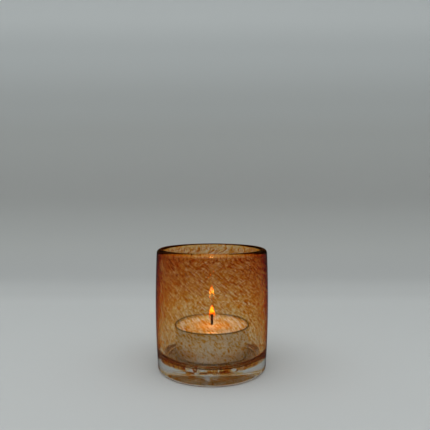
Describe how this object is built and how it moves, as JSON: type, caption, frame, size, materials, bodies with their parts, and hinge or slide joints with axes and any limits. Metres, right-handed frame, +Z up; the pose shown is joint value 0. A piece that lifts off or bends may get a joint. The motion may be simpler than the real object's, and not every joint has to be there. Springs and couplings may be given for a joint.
{
  "type": "tealight holder",
  "caption": "Blown glass tealight holder: a softly barrelled tumbler of mottled amber glass cased in clear glass, with a thick clear base and a loose tealight in its metal cup.",
  "frame": {"origin": "centre of the foot, on the surface that the holder stands on", "axes": "+Z up along the axis of the glass, the front towards -Y"},
  "size_m": [0.0576, 0.0576, 0.0608],
  "materials": {
    "clear_glass": "fire-polished, clear, with a soft heel and lip",
    "amber_glass": "glossy, mottled with fine swirled streaks of orange-brown and pale beige frit",
    "drawn_aluminium": "drawn thin sheet, satin with faint vertical draw lines",
    "paraffin_wax": "translucent paraffin wax, melted and glossy on top",
    "cotton_wick": "braided cotton, waxed below and charred black where it burns",
    "tinned_steel": "bright tin plate"
  },
  "bodies": {
    "holder": {"clear_glass_casing": "clear_glass", "amber_glass_lining": "amber_glass"},
    "cup": {"tealight_cup": "drawn_aluminium"},
    "candle": {"candle_wax": "paraffin_wax", "wick": "cotton_wick", "wick_sustainer": "tinned_steel"}
  },
  "joints": [
    {"name": "tealight_lift", "type": "slide", "parent": "holder", "child": "cup", "axis": [0, 0, 1], "range_m": [0, 0.07]},
    {"name": "candle_lift", "type": "slide", "parent": "cup", "child": "candle", "axis": [0, 0, 1], "range_m": [0, 0.03]}
  ]
}
